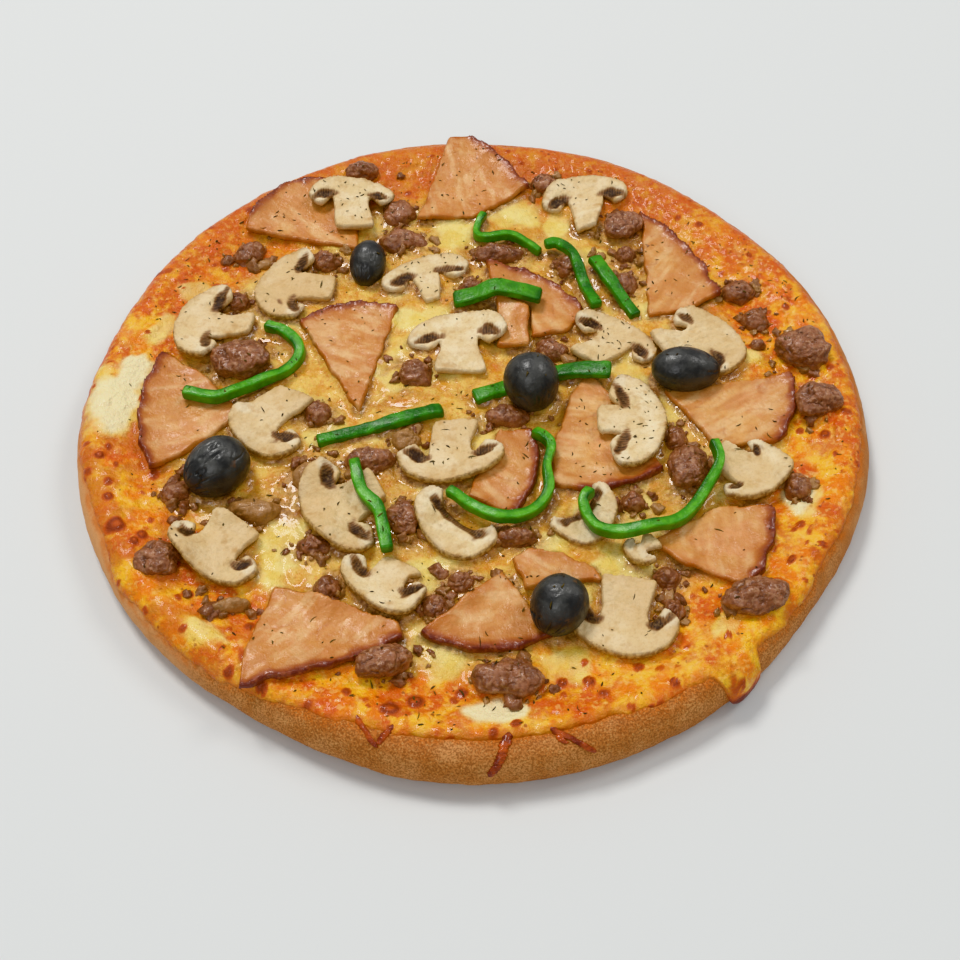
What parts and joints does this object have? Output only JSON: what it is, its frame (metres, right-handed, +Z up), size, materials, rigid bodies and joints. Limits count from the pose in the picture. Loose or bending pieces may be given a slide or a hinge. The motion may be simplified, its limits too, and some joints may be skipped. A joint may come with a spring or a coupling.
{
  "type": "pan pizza",
  "caption": "Whole round pan pizza with melted cheese, ham, mushroom, olive, green pepper and meat toppings, to rest on a board or plate.",
  "frame": {"origin": "middle of the crust's flat underside, on the surface that the pizza rests on", "axes": "+Z up, out of the toppings; the edge with the cheese drips, nearest the picture's viewer, is at -Y; +X to the viewer's right"},
  "size_m": [0.3012, 0.3087, 0.0344],
  "materials": {
    "crust": "golden baked dough, fine-grained and matt",
    "cheese": "melted cheese, pale yellow to browned orange, oily",
    "ham": "baked ham, peach with a dark red-brown rind, moist",
    "meat": "cooked crumbled meat, rough and wet",
    "mushroom": "baked mushroom, cream flesh with a tan skin, nearly matt",
    "pepper": "green pepper, bright skin with lighter flesh, glossy",
    "olive": "black olive, glossy and finely wrinkled"
  },
  "bodies": {
    "root": {"crust": "crust", "cheese": "cheese", "ham_01": "ham", "ham_02": "ham", "ham_03": "ham", "ham_04": "ham", "ham_05": "ham", "ham_06": "ham", "ham_07": "ham", "ham_08": "ham", "ham_09": "ham", "ham_10": "ham", "ham_11": "ham", "ham_12": "ham", "ham_13": "ham", "ham_14": "ham", "meat_01": "meat", "meat_02": "meat", "meat_03": "meat", "meat_04": "meat", "meat_05": "meat", "meat_06": "meat", "meat_07": "meat", "meat_08": "meat", "meat_09": "meat", "meat_10": "meat", "mushroom_01": "mushroom", "mushroom_02": "mushroom", "mushroom_03": "mushroom", "mushroom_04": "mushroom", "mushroom_05": "mushroom", "mushroom_06": "mushroom", "mushroom_07": "mushroom", "mushroom_08": "mushroom", "mushroom_09": "mushroom", "mushroom_10": "mushroom", "mushroom_11": "mushroom", "mushroom_12": "mushroom", "mushroom_13": "mushroom", "mushroom_14": "mushroom", "mushroom_15": "mushroom", "mushroom_16": "mushroom", "mushroom_17": "mushroom", "mushroom_18": "mushroom", "mushroom_19": "mushroom", "pepper_01": "pepper", "pepper_02": "pepper", "pepper_03": "pepper", "pepper_04": "pepper", "pepper_05": "pepper", "pepper_06": "pepper", "pepper_07": "pepper", "pepper_08": "pepper", "pepper_09": "pepper", "pepper_10": "pepper", "olive_01": "olive", "olive_02": "olive", "olive_03": "olive", "olive_04": "olive", "olive_05": "olive"}
  },
  "joints": []
}
